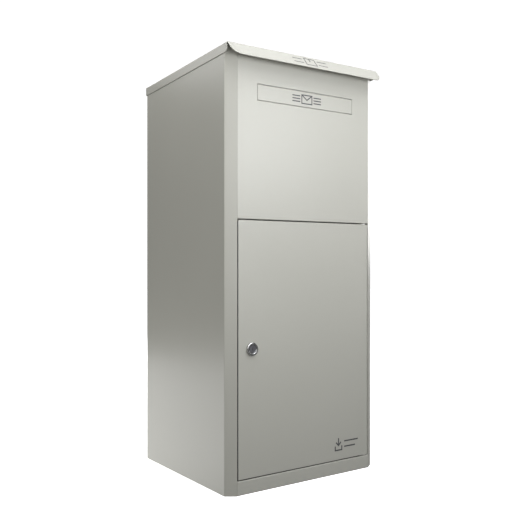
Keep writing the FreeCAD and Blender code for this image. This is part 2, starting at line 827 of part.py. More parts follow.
body = new_body("lock_nut")
nut = []
for k in range(6):
    angle = math.radians(60 * k)
    nut.append((15 * math.cos(angle), 15 * math.sin(angle)))
pad(body, sketch(body, "XZ", [nut], [(0, 0, 11.5)], lift=-gauge - 5), 5)
place(body, (lock_x, front, lock_z))

body = new_body("lock_cam")
pad(body, sketch(body, "XZ", [slab((-8, 8), (-34, 8))], lift=-29.5), 2.5)
soften(body, 6, lambda e: straight(e, "y"))
pocket(body, sketch(body, "XZ", [], [(0, 0, 4)], lift=-28), 12)
place(body, (lock_x, front, lock_z))

cap = rod("y", (lock_x, front + 29.5, lock_z), 7, 3)
socket = rod("y", (lock_x, front + 31, lock_z), 2.5, 6)
name_part(less(cap, socket), "cam_screw")

# ---- checks and export -----------------------------------------------------------

doc.recompute()
for item in doc.Objects:
    for word in item.State:
        if "Invalid" in word or "Error" in word:
            raise RuntimeError("%s (%s) is %s" % (item.Label, item.TypeId, item.State))
for item in nodes:
    shape = item.Shape
    if shape.isNull() or not shape.isValid() or len(shape.Solids) != 1:
        raise RuntimeError("%s: solids %d" % (item.Label, len(shape.Solids)))
    shape.exportStep("parts/%s.step" % item.Label)
    box = shape.BoundBox
    print("%-22s %9.0f mm3  x %7.1f %7.1f  y %7.1f %7.1f  z %7.1f %7.1f" % (
        item.Label, shape.Volume, box.XMin, box.XMax, box.YMin, box.YMax, box.ZMin, box.ZMax))
print("%d parts" % len(nodes))
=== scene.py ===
import json
import math

import bmesh
import bpy
import numpy as np
from bpy.props import FloatProperty, FloatVectorProperty, IntProperty, PointerProperty
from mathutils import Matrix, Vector


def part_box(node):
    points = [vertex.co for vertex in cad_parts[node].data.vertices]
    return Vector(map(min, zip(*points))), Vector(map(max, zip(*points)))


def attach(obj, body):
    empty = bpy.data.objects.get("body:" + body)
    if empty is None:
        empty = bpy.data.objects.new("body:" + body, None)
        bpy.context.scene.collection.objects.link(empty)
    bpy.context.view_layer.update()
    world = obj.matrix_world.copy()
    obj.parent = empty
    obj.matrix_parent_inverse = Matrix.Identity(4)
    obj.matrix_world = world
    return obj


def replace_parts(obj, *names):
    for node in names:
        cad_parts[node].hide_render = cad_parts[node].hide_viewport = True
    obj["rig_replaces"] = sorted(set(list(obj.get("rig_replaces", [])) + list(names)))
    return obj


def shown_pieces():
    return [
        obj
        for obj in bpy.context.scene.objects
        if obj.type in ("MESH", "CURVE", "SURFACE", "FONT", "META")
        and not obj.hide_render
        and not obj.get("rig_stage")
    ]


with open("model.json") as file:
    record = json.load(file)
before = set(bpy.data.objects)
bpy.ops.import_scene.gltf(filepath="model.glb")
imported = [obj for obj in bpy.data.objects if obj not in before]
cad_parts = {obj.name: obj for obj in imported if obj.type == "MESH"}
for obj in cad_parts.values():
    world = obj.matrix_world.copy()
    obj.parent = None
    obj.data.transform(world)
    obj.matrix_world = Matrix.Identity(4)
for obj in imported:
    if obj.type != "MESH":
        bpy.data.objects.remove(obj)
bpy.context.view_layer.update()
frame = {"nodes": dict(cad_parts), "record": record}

bl_info = {
    "name": "Parcel Drop Box",
    "version": (1, 0, 0),
    "blender": (4, 5, 0),
    "location": "3D View > Sidebar > Drop Box",
    "description": "Painted sheet-steel parcel drop box built on its CAD frame",
    "category": "Object",
}

NODES = frame["nodes"]
BODIES = frame["record"]["behaviour"]["bodies"]
SLOTS = {part["node"]: part["material_slot"] for part in frame["record"]["subparts"]}
MM = 0.001


def lowest(node):
    """Lowest corner of a CAD node."""
    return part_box(node)[0]


def highest(node):
    """Highest corner of a CAD node."""
    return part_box(node)[1]


# The body's main planes, read from the CAD nodes, in metres.
HALF = highest("right_side_panel").x
FRONT = lowest("upper_front_panel").y
BACK = highest("back_panel").y
JAMB = highest("upper_front_panel").x
STOP_IN = lowest("right_side_panel").x
RIM_FRONT = highest("left_side_panel").z
RIM_BACK = highest("back_panel").z
FALL = (RIM_FRONT - RIM_BACK) / (BACK - FRONT)
LID_HALF = highest("lid_cover").x
LID_REAR = BACK + 2.3 * MM
LID_TOP = RIM_FRONT + 3.8 * MM
LIP_FRONT = lowest("lid_cover").y
SILL_LEAF = 13 * MM
HEAD_LEAF = 14 * MM
SILL_TOP = highest("front_sill").z - SILL_LEAF
HEAD = lowest("upper_front_panel").z + HEAD_LEAF
# The stops at the head and sill stand this far in front of the side stops.
STOP_STEP = 2.5 * MM
# Drop of the lid's lip from its front fold to its lower edge.
LIP_DROP = 32.5 * MM
# Steps of arc at each fold, and the angle past which an edge counts as sharp.
FOLD_STEPS = 6
SHARP = 35.0
# Finishes by short name, filled by the Finishes operator.
FINISHES = {}


def middle(node):
    """Middle of a CAD node's box as a numpy row."""
    low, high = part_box(node)
    return (np.array(low) + np.array(high)) / 2


# ---- shader expressions ----


class Wire:
    """An output socket that adds its own Math nodes when it is used in an expression."""

    def __init__(self, finish, socket):
        self.finish = finish
        self.socket = socket

    def math(self, operation, first, second=0.0):
        settings = {"operation": operation}
        return self.finish.add("ShaderNodeMath", settings, {0: first, 1: second})

    def __add__(self, other):
        return self.math("ADD", self, other)

    def __radd__(self, other):
        return self.math("ADD", other, self)

    def __sub__(self, other):
        return self.math("SUBTRACT", self, other)

    def __rsub__(self, other):
        return self.math("SUBTRACT", other, self)

    def __mul__(self, other):
        return self.math("MULTIPLY", self, other)

    def __rmul__(self, other):
        return self.math("MULTIPLY", other, self)

    def __pow__(self, other):
        return self.math("POWER", self, other)


class Finish:
    """A node material under construction, with patterns on Object coordinates in metres."""

    def __init__(self, name):
        self.material = bpy.data.materials.new(name)
        self.material.use_nodes = True
        self.tree = self.material.node_tree
        self.tree.nodes.clear()

    def add(self, kind, settings=None, inputs=None, output=0):
        """Adds a node: its settings first, then the values or wires of its sockets."""
        node = self.tree.nodes.new(kind)
        for key, value in (settings or {}).items():
            if key == "stops":
                ramp = node.color_ramp
                while len(ramp.elements) < len(value):
                    ramp.elements.new(0.5)
                for element, (spot, shade) in zip(ramp.elements, value):
                    element.position = spot
                    element.color = (shade, shade, shade, 1.0)
            else:
                setattr(node, key, value)
        for key, value in (inputs or {}).items():
            if isinstance(value, Wire):
                self.tree.links.new(value.socket, node.inputs[key])
            else:
                node.inputs[key].default_value = value
        return Wire(self, node.outputs[output]) if node.outputs else None

    def spot(self, scale=(1.0, 1.0, 1.0), turn=(0.0, 0.0, 0.0), move=(0.0, 0.0, 0.0)):
        """Object coordinates, moved, turned and stretched."""
        coords = self.add("ShaderNodeTexCoord", output=3)
        mapped = {"Vector": coords, "Location": move, "Rotation": turn, "Scale": scale}
        return self.add("ShaderNodeMapping", {"vector_type": "POINT"}, mapped)

    def noise(self, scale, detail=2.0, rough=0.5, vector=None):
        """Cloud noise between 0 and 1; scale is in lumps per metre."""
        inputs = {"Vector": vector or self.spot(), "Scale": scale, "Detail": detail,
                  "Roughness": rough}
        return self.add("ShaderNodeTexNoise", {"noise_dimensions": "3D"}, inputs)

    def ramp(self, factor, stops):
        """Greys between stops of (place, shade)."""
        return self.add("ShaderNodeValToRGB", {"stops": stops}, {"Fac": factor})

    def blend(self, factor, first, second):
        """Colour mixed from the first to the second by factor."""
        inputs = {0: factor, 6: first, 7: second}
        settings = {"data_type": "RGBA", "blend_type": "MIX"}
        return self.add("ShaderNodeMix", settings, inputs, output=2)

    def shades(self, factor, colour, low, high):
        """One colour at two strengths, mixed by factor."""
        return self.blend(factor, rgba(colour, low), rgba(colour, high))

    def bump(self, height, depth, strength=1.0, under=None):
        """Normal from a height; depth is the bump's real height in metres."""
        inputs = {"Height": height, "Distance": depth, "Strength": strength}
        if under is not None:
            inputs["Normal"] = under
        return self.add("ShaderNodeBump", {}, inputs)

    def close(self, **inputs):
        """Shader and output; sockets are named with _ for each space."""
        named = {key.replace("_", " "): value for key, value in inputs.items()}
        shader = self.add("ShaderNodeBsdfPrincipled", {}, named)
        self.add("ShaderNodeOutputMaterial", {}, {"Surface": shader})
        return self.material


def rgba(colour, by=1.0):
    """Colour times a factor, as four numbers."""
    return tuple(min(1.0, c * by) for c in tuple(colour)[:3]) + (1.0,)


def paint_finish(look):
    """Satin powder coat: fine orange peel, faint cloudiness, a thin clear gloss."""
    f = Finish("powder_coat")
    peel = f.noise(look.peel_scale, 2.0, 0.55)
    grit = f.noise(look.peel_scale * 3.1, 1.0, 0.5)
    cloud = f.noise(2.6, 3.0, 0.5)
    speck = f.ramp(f.noise(1500.0, 1.0), [(0.0, 0.0), (0.66, 0.0), (0.72, 1.0)])
    tone = f.shades(cloud, look.colour, 0.965, 1.03)
    tone = f.blend(speck * 0.10, tone, rgba(look.colour, 0.80))
    gloss = look.roughness + (cloud - 0.5) * 0.10 + (grit - 0.5) * 0.10
    normal = f.bump(peel * 0.75 + grit * 0.25, look.peel_depth, 0.55)
    return f.close(Base_Color=tone, Roughness=gloss, Normal=normal, Coat_Weight=0.12,
                   Coat_Roughness=0.22)


def zinc_finish(look):
    """Galvanised sheet: angular spangles that differ in shade and gloss."""
    f = Finish("galvanised_sheet")
    wobble = f.noise(60.0, 2.0)
    cell = {"Vector": f.spot(), "Scale": 85.0, "Randomness": 1.0}
    grain = f.add("ShaderNodeTexVoronoi", {"feature": "F1"}, cell, output=1)
    flake = f.add("ShaderNodeSeparateColor", {}, {"Color": grain})
    fine = f.noise(900.0, 2.0)
    shade = flake * 0.7 + wobble * 0.3
    tone = f.shades(shade, look.colour, 0.72, 1.12)
    gloss = 0.34 + shade * 0.16 + (fine - 0.5) * 0.08
    normal = f.bump(fine * 0.4 + flake * 0.6, 0.00004, 0.5)
    return f.close(Base_Color=tone, Metallic=0.92, Roughness=gloss, Normal=normal)


def steel_finish(look):
    """Bright plated steel with drawn lines along X."""
    f = Finish("plated_steel")
    lines = f.noise(400.0, 2.0, 0.6, f.spot(scale=(0.12, 1.0, 1.0)))
    haze = f.noise(40.0, 2.0)
    mixed = lines * 0.5 + haze * 0.5
    tone = f.shades(mixed, look.colour, 0.80, 1.1)
    gloss = 0.20 + lines * 0.16 + haze * 0.06
    return f.close(Base_Color=tone, Metallic=1.0, Roughness=gloss,
                   Normal=f.bump(lines, 0.00003, 0.4))


def chrome_finish(look):
    """Polished bezel: mirror metal with hairline wipes and a little haze."""
    f = Finish("polished_bezel")
    haze = f.noise(90.0, 3.0)
    wipes = f.noise(900.0, 2.0, 0.6, f.spot(scale=(1.0, 0.2, 0.35), turn=(0.0, 0.5, 0.0)))
    tone = f.shades(haze, look.colour, 0.86, 1.05)
    gloss = 0.09 + haze * 0.08 + f.ramp(wipes, [(0.0, 0.0), (0.6, 0.0), (0.75, 0.12)])
    return f.close(Base_Color=tone, Metallic=1.0, Roughness=gloss)


def core_finish(look, centre):
    """Dark satin lock face with fine turned rings about the lock's middle."""
    f = Finish("lock_face")
    place = f.spot(move=tuple(-centre))
    settings = {"wave_type": "RINGS", "rings_direction": "Y"}
    inputs = {"Vector": place, "Scale": 700.0, "Distortion": 0.4, "Detail": 1.0}
    rings = f.add("ShaderNodeTexWave", settings, inputs, output=1)
    haze = f.noise(160.0, 3.0)
    tone = f.shades(haze, look.colour, 0.75, 1.2)
    gloss = 0.30 + rings * 0.10 + haze * 0.08
    return f.close(Base_Color=tone, Metallic=0.85, Roughness=gloss,
                   Normal=f.bump(rings, 0.00003, 0.35))


def rubber_finish(look):
    """Matt black rubber, finely grained and a little dusty."""
    f = Finish("black_rubber")
    grain = f.noise(1300.0, 2.0)
    dust = f.ramp(f.noise(18.0, 4.0, 0.6), [(0.35, 0.0), (0.8, 1.0)])
    tone = f.blend(dust * 0.35, rgba(look.colour), rgba((0.16, 0.155, 0.145)))
    return f.close(Base_Color=tone, Roughness=0.62 + dust * 0.2 + (grain - 0.5) * 0.1,
                   Normal=f.bump(grain, 0.00008, 0.6))


def nylon_finish(look):
    """Moulded natural nylon with a faint flow mottle."""
    f = Finish("moulded_nylon")
    flow = f.noise(120.0, 3.0, 0.5, f.spot(scale=(1.0, 1.0, 0.4)))
    tone = f.shades(flow, look.colour, 0.92, 1.03)
    return f.close(Base_Color=tone, Roughness=0.40 + flow * 0.12,
                   Normal=f.bump(f.noise(1600.0), 0.00003, 0.4))


def print_finish(look):
    """Screen-printed ink: thin dark grey with a slight tooth."""
    f = Finish("printed_ink")
    tooth = f.noise(2400.0, 2.0)
    tone = f.shades(tooth, look.colour, 0.85, 1.2)
    return f.close(Base_Color=tone, Roughness=0.45 + (tooth - 0.5) * 0.2,
                   Normal=f.bump(tooth, 0.00003, 0.4))


def floor_finish(look):
    """Pale plain studio floor with an almost even tone."""
    f = Finish("studio_floor")
    cloud = f.noise(1.4, 3.0)
    tone = f.shades(cloud, look.floor_colour, 0.985, 1.0)
    return f.close(Base_Color=tone, Roughness=0.75, Emission_Color=(1.0, 1.0, 1.0, 1.0),
                   Emission_Strength=look.glow,
                   Normal=f.bump(f.noise(300.0), 0.0001, 0.1))


def backdrop_finish():
    """Plain white backdrop that gives off its own even light."""
    f = Finish("white_backdrop")
    return f.close(Base_Color=(0.0, 0.0, 0.0, 1.0), Roughness=1.0,
                   Emission_Color=(1.0, 1.0, 1.0, 1.0), Emission_Strength=1.05)


# ---- surfaces ----


def bent_path(corners, radii, steps=FOLD_STEPS):
    """Polyline whose corners are tangent arcs.

    At a corner where the line turns by a, the arc of radius r starts and ends
    r tan(a/2) from the corner; points are spaced evenly in angle.  Returns the points
    and the unit normals to the right of the direction of travel.
    """
    corners = np.array(corners, float)
    legs = np.diff(corners, axis=0)
    heads = legs / np.linalg.norm(legs, axis=1)[:, None]
    rights = np.stack([heads[:, 1], -heads[:, 0]], 1)
    points = [corners[:1]]
    normals = [rights[:1]]
    for k in range(1, len(corners) - 1):
        ahead, after = heads[k - 1], heads[k]
        turn = math.atan2(ahead[0] * after[1] - ahead[1] * after[0], ahead @ after)
        if abs(turn) < 1e-6 or radii[k] <= 0:
            points.append(corners[k:k + 1])
            normals.append(rights[k:k + 1])
            continue
        run = radii[k] * math.tan(abs(turn) / 2)
        side = -np.sign(turn)
        middle_point = corners[k] - ahead * run + rights[k - 1] * radii[k] * side
        angle = np.linspace(0.0, turn, steps + 1)
        cosine, sine = np.cos(angle)[:, None], np.sin(angle)[:, None]
        start = rights[k - 1]
        swung = start * cosine + np.array([-start[1], start[0]]) * sine
        points.append(middle_point - swung * radii[k] * side)
        normals.append(swung)
    points.append(corners[-1:])
    normals.append(rights[-1:])
    return np.concatenate(points), np.concatenate(normals)


def refined(values, step):
    """Sorted stations with extra ones so that no gap is wider than step."""
    values = np.asarray(values, float)
    parts = [np.linspace(a, b, max(1, int(math.ceil((b - a) / step))) + 1)[:-1]
             for a, b in zip(values[:-1], values[1:])]
    return np.concatenate(parts + [values[-1:]])


class Surface:
    """Collects points and faces from whole arrays and turns them into one mesh object."""

    def __init__(self):
        self.points = []
        self.faces = []
        self.count = 0

    def take(self, points):
        """Adds points and returns their numbers in the same grid shape."""
        points = np.asarray(points, float)
        numbers = np.arange(self.count, self.count + points[..., 0].size)
        self.points.append(points.reshape(-1, 3))
        self.count += numbers.size
        return numbers.reshape(points.shape[:-1])

    def quads(self, a, b, c, d, keep=None):
        """Faces a b c d taken element by element where keep is true."""
        faces = np.stack([np.ravel(v) for v in (a, b, c, d)], 1)
        if keep is not None:
            faces = faces[np.ravel(keep)]
        if len(faces):
            self.faces.append(faces)

    def polygon(self, numbers):
        """One flat face with many corners."""
        self.faces.append(np.asarray(numbers).reshape(1, -1))

    def shell(self, outer, inner, keep=None):
        """Closed wall between two grids of the same shape, with openings.

        A cell is kept or open; kept cells give an outer and an inner face, and every
        edge between a kept cell and an open one, or the border, gives a rim face.
        The outer face's normal is (next row) cross (next column).
        """
        outer, inner = np.asarray(outer, float), np.asarray(inner, float)
        rows, columns = outer.shape[:2]
        if keep is None:
            keep = np.ones((rows - 1, columns - 1), bool)
        o = self.take(outer)
        i = self.take(inner)
        self.quads(o[:-1, :-1], o[1:, :-1], o[1:, 1:], o[:-1, 1:], keep)
        self.quads(i[:-1, :-1], i[:-1, 1:], i[1:, 1:], i[1:, :-1], keep)
        edge = np.zeros((rows + 1, columns + 1), bool)
        edge[1:-1, 1:-1] = keep
        here, left, above = edge[1:-1, 1:-1], edge[1:-1, :-2], edge[:-2, 1:-1]
        right, below = edge[1:-1, 2:], edge[2:, 1:-1]
        self.quads(o[:-1, :-1], i[:-1, :-1], i[1:, :-1], o[1:, :-1], here & ~left)
        self.quads(o[:-1, 1:], o[1:, 1:], i[1:, 1:], i[:-1, 1:], here & ~right)
        self.quads(o[:-1, :-1], o[:-1, 1:], i[:-1, 1:], i[:-1, :-1], here & ~above)
        self.quads(o[1:, :-1], i[1:, :-1], i[1:, 1:], o[1:, 1:], here & ~below)

    def lathe(self, profile, centre, count=72):
        """Profile of (distance along Y, radius) turned about Y through the centre.

        Each point is centre + (radius cos a, along, radius sin a); ends on the axis
        close with triangles.
        """
        profile = np.asarray(profile, float)
        angle = np.linspace(0.0, 2 * np.pi, count, endpoint=False)
        along = np.repeat(profile[:, :1], count, 1)
        ring = np.stack([profile[:, 1:] * np.cos(angle), along,
                         profile[:, 1:] * np.sin(angle)], 2) + centre
        on_axis = profile[:, 1] < 1e-9
        numbers = self.take(ring[~on_axis])
        nexts = np.roll(numbers, -1, 1)
        self.quads(numbers[:-1], numbers[1:], nexts[1:], nexts[:-1])
        for end, row, tip in ((0, 0, on_axis[0]), (-1, -1, on_axis[-1])):
            if not tip:
                continue
            pole = self.take(centre + np.array([[0.0, profile[end, 0], 0.0]]))
            ring_numbers = numbers[row]
            pole = np.full(count, pole[0])
            trio = [pole, ring_numbers, np.roll(ring_numbers, -1)]
            if end == -1:
                trio = trio[::-1]
            self.faces.append(np.stack(trio, 1))

    def build(self, name, clean=False, round_by=0.0):
        """Makes the object: smooth shading, sharp edges by angle, an optional bevel."""
        points = np.concatenate(self.points)
        faces = [tuple(row) for block in self.faces for row in block.tolist()]
        mesh = bpy.data.meshes.new(name)
        mesh.from_pydata(points.tolist(), [], faces)
        return finish_mesh(name, mesh, clean, round_by)


def finish_mesh(name, mesh, clean, round_by, segments=2, flatten=False):
    """Object from a mesh: unused points dropped, shading set and edges rounded.

    With flatten, triangles that lie in one plane become one face first, so that the
    rounding meets whole edges. Large faces then keep their own flat normals.
    """
    work = bmesh.new()
    work.from_mesh(mesh)
    loose = [v for v in work.verts if not v.link_faces]
    bmesh.ops.delete(work, geom=loose, context="VERTS")
    if clean:
        bmesh.ops.remove_doubles(work, verts=work.verts, dist=2e-6)
        bmesh.ops.recalc_face_normals(work, faces=work.faces)
    if flatten:
        bmesh.ops.dissolve_limit(work, angle_limit=math.radians(0.3), verts=work.verts,
                                 edges=work.edges, use_dissolve_boundaries=False)
    work.to_mesh(mesh)
    work.free()
    mesh.validate()
    mesh.shade_smooth()
    mesh.set_sharp_from_angle(angle=math.radians(SHARP))
    piece = placed(name, mesh)
    if round_by > 0:
        bevel = piece.modifiers.new("edge_round", "BEVEL")
        bevel.width = round_by
        bevel.segments = segments
        bevel.limit_method = "ANGLE"
        bevel.angle_limit = math.radians(SHARP)
        bevel.harden_normals = True
        bevel.use_clamp_overlap = True
    level = piece.modifiers.new("flat_faces", "WEIGHTED_NORMAL")
    level.mode = "FACE_AREA"
    level.weight = 80
    level.keep_sharp = True
    return piece


def placed(name, data):
    """A new object in the scene."""
    thing = bpy.data.objects.new(name, data)
    bpy.context.scene.collection.objects.link(thing)
    return thing


def body_with(node):
    """Name of the CAD body that a node belongs to."""
    return next(body for body, members in BODIES.items() if node in members)


def adopt(piece, finish, *nodes, body=None, slot=None):
    """Gives a piece its finish and CAD body; it stands for the nodes."""
    piece.data.materials.clear()
    piece.data.materials.append(FINISHES[finish])
    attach(piece, body or body_with(nodes[0]))
    if nodes:
        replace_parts(piece, *nodes)
    slot or SLOTS[nodes[0]]
    return piece


def rounded_copy(node, finish, width=0.25 * MM, segments=2):
    """A CAD node's mesh merged and given rounded edges, in place of the node."""
    mesh = NODES[node].data.copy()
    mesh.name = node + "_rounded"
    piece = finish_mesh(mesh.name, mesh, True, width, segments, True)
    return adopt(piece, finish, node)


def rim(y):
    """Height of the body's sloping rim at depth y."""
    return RIM_FRONT - FALL * (np.asarray(y) - FRONT)


def lid_top(y):
    """Height of the lid's sloping top at depth y."""
    return LID_TOP - FALL * (np.asarray(y) - FRONT)


def lifted(points, x=None, z=None):
    """Grid of 3-D points from a 2-D path and the stations of the missing direction."""
    path = np.asarray(points, float)
    if x is not None:
        grid = np.empty((len(path), len(x), 3))
        grid[..., 0] = x
        grid[..., 1] = path[:, :1]
        grid[..., 2] = path[:, 1:]
    else:
        grid = np.empty((len(path), len(z), 3))
        grid[..., 0] = path[:, :1]
        grid[..., 1] = path[:, 1:]
        grid[..., 2] = z
    return grid


# ---- settings ----


def metres(name, description, default, precision=5):
    """A setting in metres."""
    return FloatProperty(name=name, description=description, default=default,
                         unit="LENGTH", precision=precision)


class SheetSizes(bpy.types.PropertyGroup):
    """Sizes of the folded sheet that are drawn here and not in the frame."""

    gauge: metres("Sheet thickness", "Thickness of body sheet", 1.5 * MM)
    bend: metres("Bend radius", "Outside radius of each fold", 2.4 * MM)
    facet_bend: metres("Facet bend", "Radius from side to corner facet", 3.0 * MM)
    jamb_bend: metres("Jamb bend", "Radius from corner facet to jamb", 0.7 * MM)
    pan_bend: metres("Door bend", "Outside radius of the door pan's fold", 0.9 * MM)
    edge: metres("Edge round", "Rounding of cut sheet edges", 0.3 * MM)
    facet_run: metres("Facet width", "Front corner flat, sideways", 25.5 * MM)
    facet_depth: metres("Facet depth", "Front corner flat, back", 17.5 * MM)
    leaf: metres("Jamb depth", "Door stop behind the front face", 25.0 * MM)
    lip_round: metres("Lip corner", "Radius of the lip's corners", 25.0 * MM)
    skirt: metres("Skirt height", "Height of the lid's skirts", 22.0 * MM)


class PaintLook(bpy.types.PropertyGroup):
    """Powder coat of the body, lid and door."""

    colour: FloatVectorProperty(name="Paint", description="Colour of the powder coat",
                                subtype="COLOR", size=3, default=(0.385, 0.382, 0.337),
                                min=0.0, max=1.0)
    roughness: FloatProperty(name="Roughness", description="Gloss of the paint",
                             default=0.36, min=0.0, max=1.0)
    peel_scale: FloatProperty(name="Peel scale", description="Orange peel lumps per metre",
                              default=520.0)
    peel_depth: metres("Peel depth", "Height of the orange peel", 0.12 * MM, 6)


class StageLook(bpy.types.PropertyGroup):
    """Floor, lights and camera."""

    floor_colour: FloatVectorProperty(name="Floor", description="Colour of the floor",
                                      subtype="COLOR", size=3, default=(0.93, 0.93, 0.93),
                                      min=0.0, max=1.0)
    sky: FloatProperty(name="Surround", description="Brightness of the white surround",
                       default=0.18)
    glow: FloatProperty(name="Floor glow", description="Light given off by the floor",
                        default=0.98)
    brightness: FloatProperty(name="Lamps", description="Factor on every lamp's power",
                              default=1.0)
    lens: FloatProperty(name="Lens", description="Focal length in millimetres",
                        default=50.2)
    camera_place: FloatVectorProperty(name="Camera", description="Place of the camera",
                                      subtype="TRANSLATION", size=3, unit="LENGTH",
                                      default=(-1.1305, -1.6244, 0.5513))
    camera_turn: FloatProperty(name="Turn", description="Turn of the camera about Z",
                               default=math.radians(-34.934), subtype="ANGLE")


class BoxSettings(bpy.types.PropertyGroup):
    """Everything a user would change."""

    sheet: PointerProperty(type=SheetSizes, name="Sheet", description="Folded sheet")
    paint: PointerProperty(type=PaintLook, name="Paint", description="Powder coat")
    stage: PointerProperty(type=StageLook, name="Stage", description="Floor and lights")
    stroke: metres("Print line", "Line width of the printed signs", 2.8 * MM)
    turns: IntProperty(name="Lock facets", description="Steps round the turned parts",
                       default=96, min=24, max=256)


class Tint:
    """A plain colour handed to a finish."""

    def __init__(self, *colour):
        self.colour = colour


# ---- operators ----


class DROPBOX_OT_finishes(bpy.types.Operator):
    """Makes the paint, metal, rubber, plastic and ink materials."""

    bl_idname = "dropbox.finishes"
    bl_label = "Finishes"

    def execute(self, context):
        FINISHES["paint"] = paint_finish(context.scene.drop_box.paint)
        FINISHES["zinc"] = zinc_finish(Tint(0.60, 0.62, 0.64))
        FINISHES["steel"] = steel_finish(Tint(0.62, 0.62, 0.61))
        FINISHES["lock_chrome"] = chrome_finish(Tint(0.52, 0.52, 0.51))
        FINISHES["lock_core"] = core_finish(Tint(0.16, 0.16, 0.17), middle("lock_plug"))
        FINISHES["rubber"] = rubber_finish(Tint(0.035, 0.035, 0.036))
        FINISHES["nylon"] = nylon_finish(Tint(0.80, 0.80, 0.76))
        FINISHES["ink"] = print_finish(Tint(0.055, 0.055, 0.058))
        for name, node in NODES.items():
            node.data.materials.clear()
            node.data.materials.append(FINISHES[SLOTS[name]])
        return {"FINISHED"}


class DROPBOX_OT_sides(bpy.types.Operator):
    """Folds both side panels, corner facets, jambs and door stops, and the top strips."""

    bl_idname = "dropbox.sides"
    bl_label = "Side panels"

    def execute(self, context):
        sheet = context.scene.drop_box.sheet
        t = sheet.gauge
        strip_width = 12 * MM
        for label, side in (("left_side_panel", -1), ("right_side_panel", 1)):
            corners = [
                (HALF, BACK - t),
                (HALF, FRONT + sheet.facet_depth),
                (HALF - sheet.facet_run, FRONT),
                (JAMB, FRONT + sheet.leaf),
                (STOP_IN, FRONT + sheet.leaf),
            ]
            radii = [0, sheet.facet_bend, sheet.jamb_bend, sheet.bend, 0]
            path, normals = bent_path(corners, radii)
            wall = path + normals * t
            parts = refined([0.0, 1.0], 0.12)
            outer = lifted(path, z=np.zeros(len(parts)))
            outer[..., 2] = parts * rim(path[:, 1])[:, None]
            inner = lifted(wall, z=np.zeros(len(parts)))
            inner[..., 2] = parts * rim(wall[:, 1])[:, None]
            piece = Surface()
            strip_y = refined([FRONT + sheet.facet_depth + 2 * MM, BACK - 2 * t], 0.06)
            strip_x = np.array([HALF - t, HALF - t - strip_width])
            top = np.empty((2, len(strip_y), 3))
            top[..., 0] = strip_x[:, None]
            top[..., 1] = strip_y
            top[..., 2] = rim(strip_y)
            under = top - np.array([0.0, 0.0, t])
            order = slice(None, None, -side)
            for face, back in ((outer, inner), (top, under)):
                face[..., 0] *= side
                back[..., 0] *= side
                piece.shell(face[order], back[order])
            adopt(piece.build(label + "_folded", True, sheet.edge), "paint", label)
        return {"FINISHED"}


class DROPBOX_OT_front(bpy.types.Operator):
    """Folds the upper front panel with its letter slot, and the sill under the door."""

    bl_idname = "dropbox.front"
    bl_label = "Front panel and sill"

    def execute(self, context):
        sheet = context.scene.drop_box.sheet
        t, bend = sheet.gauge, sheet.bend
        stop = FRONT + sheet.leaf - STOP_STEP
        turn_in = FRONT + 20 * MM
        flap_low, flap_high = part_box("letter_flap")
        flap_gap, slot_height = 1 * MM, 40 * MM
        slot_x = flap_high.x + flap_gap
        slot_z = (flap_low.z - flap_gap, flap_low.z - flap_gap + slot_height)
        corners = [
            (stop, HEAD - HEAD_LEAF),
            (stop, HEAD),
            (FRONT, HEAD),
            (FRONT, slot_z[0]),
            (FRONT, slot_z[1]),
            (FRONT, float(rim(FRONT))),
            (turn_in, float(rim(turn_in))),
        ]
        path, normals = bent_path(corners, [0, bend, bend, 0, 0, bend, 0])
        x = refined([-JAMB, -slot_x, slot_x, JAMB], 0.05)
        outer = lifted(path, x=x)
        inner = lifted(path + normals * t, x=x)
        mid_z = (path[:-1, 1] + path[1:, 1]) / 2
        flush = np.abs(path[:-1, 0] - FRONT) < 1e-6
        rows = flush & (mid_z > slot_z[0]) & (mid_z < slot_z[1])
        columns = np.abs((x[:-1] + x[1:]) / 2) < slot_x
        piece = Surface()
        keep = ~(rows[:, None] & columns)
        piece.shell(outer[:, ::-1], inner[:, ::-1], keep[:, ::-1])
        folded = piece.build("upper_front_folded", True, sheet.edge)
        adopt(folded, "paint", "upper_front_panel")

        corners = [(stop + t, 0.0), (FRONT, 0.0), (FRONT, SILL_TOP), (stop, SILL_TOP),
                   (stop, SILL_TOP + SILL_LEAF)]
        path, normals = bent_path(corners, [0, bend, bend, bend, 0])
        x = refined([-JAMB, JAMB], 0.05)
        piece = Surface()
        piece.shell(lifted(path, x=x)[:, ::-1], lifted(path + normals * t, x=x)[:, ::-1])
        adopt(piece.build("front_sill_folded", True, sheet.edge), "paint", "front_sill")
        return {"FINISHED"}


